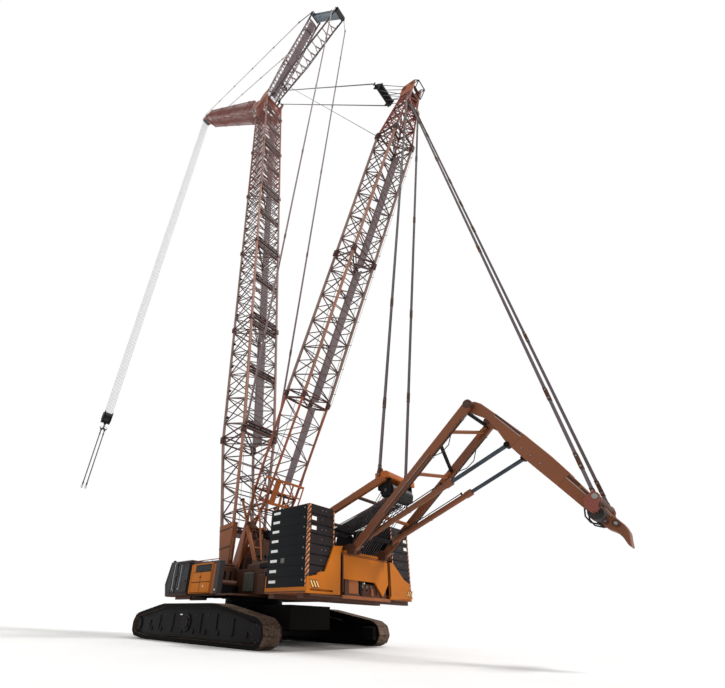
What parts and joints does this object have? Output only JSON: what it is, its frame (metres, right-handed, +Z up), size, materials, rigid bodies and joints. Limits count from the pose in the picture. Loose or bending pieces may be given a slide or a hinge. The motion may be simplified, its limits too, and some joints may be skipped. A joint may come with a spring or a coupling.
{
  "type": "scale model of a crawler crane with luffing jib and derrick, 1:10",
  "caption": "Lattice-boom crawler crane at 1:10 with luffing jib on struts, derrick mast, superlift frame, slewing upper works and hook.",
  "frame": {"origin": "on the ground under the slewing axis, midway between the tracks", "axes": "+X towards the boom's side, +Y towards the cab's side, +Z up"},
  "size_m": [6.3768, 0.932, 12.19],
  "materials": {
    "lattice_paint": "satin, dusty",
    "machine_paint": "satin",
    "brown_paint": "satin, dusty",
    "frame_paint": "satin, dusty",
    "slate_paint": "satin",
    "track_steel": "dusty",
    "sheave_steel": "satin",
    "pendant_steel": "satin",
    "rod_chrome": "polished",
    "cab_glass": "tinted",
    "cab_trim": "matte"
  },
  "bodies": {
    "undercarriage": {"carbody": "frame_paint", "centre_ballast": "slate_paint", "crawler_frame_left": "frame_paint", "crawler_frame_right": "frame_paint", "track_wheels_left": "track_steel", "track_wheels_right": "track_steel", "track_left": "track_steel", "track_right": "track_steel"},
    "superstructure": {"slewing_ring": "frame_paint", "main_frame": "frame_paint", "housing_left": "machine_paint", "housing_right": "machine_paint", "winches": "frame_paint", "counterweight_trays": "machine_paint", "counterweight_left": "slate_paint", "counterweight_right": "slate_paint", "rear_panels": "machine_paint", "gantry": "brown_paint", "gantry_sheaves": "sheave_steel", "derrick_foot": "lattice_paint", "derrick_section_1": "lattice_paint", "derrick_section_2": "lattice_paint", "derrick_head": "lattice_paint", "derrick_pendants": "pendant_steel"},
    "cab": {"cab_shell": "machine_paint", "cab_glass": "cab_glass", "cab_interior": "cab_trim"},
    "cab_door": {"cab_door": "machine_paint", "cab_door_glass": "cab_glass"},
    "boom": {"boom_foot": "lattice_paint", "boom_section_1": "lattice_paint", "boom_section_2": "lattice_paint", "boom_section_3": "lattice_paint", "boom_section_4": "lattice_paint", "boom_section_5": "lattice_paint", "boom_head": "lattice_paint", "rear_strut": "lattice_paint", "rear_stays": "pendant_steel"},
    "boom_stays": {"boom_stays": "pendant_steel"},
    "luffing_sheaves": {"derrick_luffing_sheaves": "sheave_steel"},
    "luffing_block": {"luffing_block": "sheave_steel"},
    "jib": {"jib_foot": "lattice_paint", "jib_section_1": "lattice_paint", "jib_section_2": "lattice_paint", "jib_section_3": "lattice_paint", "jib_head": "lattice_paint", "front_strut": "lattice_paint", "front_stays": "pendant_steel"},
    "rear_strut_sheaves": {"rear_strut_sheaves": "sheave_steel"},
    "front_strut_sheaves": {"front_strut_sheaves": "sheave_steel"},
    "tip_sheaves": {"tip_sheaves": "sheave_steel"},
    "hoist_rope_guide": {"hoist_rope_guide": "sheave_steel"},
    "hook_block": {"hook_block": "sheave_steel"},
    "hook": {"hook": "sheave_steel", "hook_slings": "pendant_steel"},
    "superlift_frame": {"superlift_frame": "brown_paint"},
    "superlift_arm": {"superlift_arm": "brown_paint"},
    "superlift_barrels": {"superlift_barrels": "brown_paint"},
    "superlift_rods": {"superlift_rods": "rod_chrome"},
    "superlift_pendants": {"superlift_pendants": "pendant_steel"}
  },
  "joints": [
    {"name": "slew", "type": "hinge", "parent": "undercarriage", "child": "superstructure", "pos_m": [0, 0, 0.206], "axis": [0, 0, 1], "continuous": true},
    {"name": "boom_luff", "type": "hinge", "parent": "superstructure", "child": "boom", "pos_m": [0.1635, 0, 0.2811], "axis": [0, 1, 0], "range_deg": [-1.5, 19]},
    {"name": "jib_luff", "type": "hinge", "parent": "boom", "child": "jib", "pos_m": [1.1232, 0, 7.92556], "axis": [0, 1, 0], "range_deg": [-23.3, 22.7]},
    {"name": "cab_tilt", "type": "hinge", "parent": "superstructure", "child": "cab", "pos_m": [0.145, 0, 0.408], "axis": [0, -1, 0], "range_deg": [0, 20]},
    {"name": "cab_door_slide", "type": "slide", "parent": "cab", "child": "cab_door", "axis": [-1, 0, 0], "range_m": [0, 0.088]},
    {"name": "hook_hoist", "type": "slide", "parent": "hoist_rope_guide", "child": "hook_block", "axis": [0, 0, 1], "range_m": [-0.165, 8]},
    {"name": "hook_swivel", "type": "hinge", "parent": "hook_block", "child": "hook", "pos_m": [4.29, 0, 2.64], "axis": [0, 0, 1], "continuous": true},
    {"name": "superlift_luff", "type": "hinge", "parent": "superstructure", "child": "superlift_frame", "pos_m": [-0.9, 0, 0.42], "axis": [0, -1, 0], "range_deg": [-3, 20]},
    {"name": "boom_stays_swing", "type": "hinge", "parent": "boom", "child": "boom_stays", "pos_m": [0.80437, 0, 7.90599], "axis": [0, 1, 0], "range_deg": [-0.6, 6.47]},
    {"name": "luffing_rope_swing", "type": "hinge", "parent": "superstructure", "child": "luffing_sheaves", "pos_m": [-1.4888, 0, 4.29831], "axis": [0, 1, 0], "range_deg": [-2.2, 25.57]},
    {"name": "luffing_rope_run", "type": "slide", "parent": "luffing_sheaves", "child": "luffing_block", "axis": [0.5364, 0, 0.8439], "range_m": [-0.1067, 1.3286]},
    {"name": "strut_rope_swing", "type": "hinge", "parent": "boom", "child": "rear_strut_sheaves", "pos_m": [-0.65004, 0, 8.21004], "axis": [0, 1, 0], "range_deg": [-14.18, 13.82]},
    {"name": "strut_rope_run", "type": "slide", "parent": "rear_strut_sheaves", "child": "front_strut_sheaves", "axis": [0.4356, 0, 0.9002], "range_m": [-0.6852, 0.6676]},
    {"name": "tip_plumb", "type": "hinge", "parent": "jib", "child": "tip_sheaves", "pos_m": [4.29003, 0, 12.13998], "axis": [0, 1, 0], "range_deg": [-19.1, 1.6]},
    {"name": "rope_plumb", "type": "hinge", "parent": "tip_sheaves", "child": "hoist_rope_guide", "pos_m": [4.29003, 0, 12.13998], "axis": [0, 1, 0], "range_deg": [-22.8, 23.4]},
    {"name": "superlift_fold", "type": "hinge", "parent": "superlift_frame", "child": "superlift_arm", "pos_m": [-1.58, 0, 0.99], "axis": [0, 1, 0], "range_deg": [-8.75, 57.2]},
    {"name": "superlift_cylinder_swing", "type": "hinge", "parent": "superlift_frame", "child": "superlift_barrels", "pos_m": [-0.97, 0, 0.48], "axis": [0, 1, 0], "range_deg": [-1.22, 7.56]},
    {"name": "superlift_cylinder_stroke", "type": "slide", "parent": "superlift_barrels", "child": "superlift_rods", "axis": [-0.9159, 0, 0.4015], "range_m": [-0.0277, 0.179]},
    {"name": "superlift_pendant_swing", "type": "hinge", "parent": "superstructure", "child": "superlift_pendants", "pos_m": [-1.51998, 0, 4.00371], "axis": [0, 1, 0], "range_deg": [-0.99, 6.35]}
  ],
  "couplings": [
    {"joint": "boom_stays_swing", "follows": "boom_luff", "ratio": 0.3355},
    {"joint": "luffing_rope_swing", "follows": "boom_luff", "ratio": 1.3355},
    {"joint": "luffing_rope_run", "follows": "boom_luff", "m_per_rad": 4.0005},
    {"joint": "tip_plumb", "follows": "boom_luff", "ratio": -1},
    {"joint": "strut_rope_swing", "follows": "jib_luff", "ratio": 0.6},
    {"joint": "strut_rope_run", "follows": "jib_luff", "m_per_rad": 1.68},
    {"joint": "rope_plumb", "follows": "jib_luff", "ratio": -1},
    {"joint": "superlift_fold", "follows": "superlift_luff", "ratio": 2.85},
    {"joint": "superlift_cylinder_swing", "follows": "superlift_luff", "ratio": 0.373},
    {"joint": "superlift_cylinder_stroke", "follows": "superlift_luff", "m_per_rad": 0.51},
    {"joint": "superlift_pendant_swing", "follows": "superlift_luff", "ratio": 0.315}
  ]
}
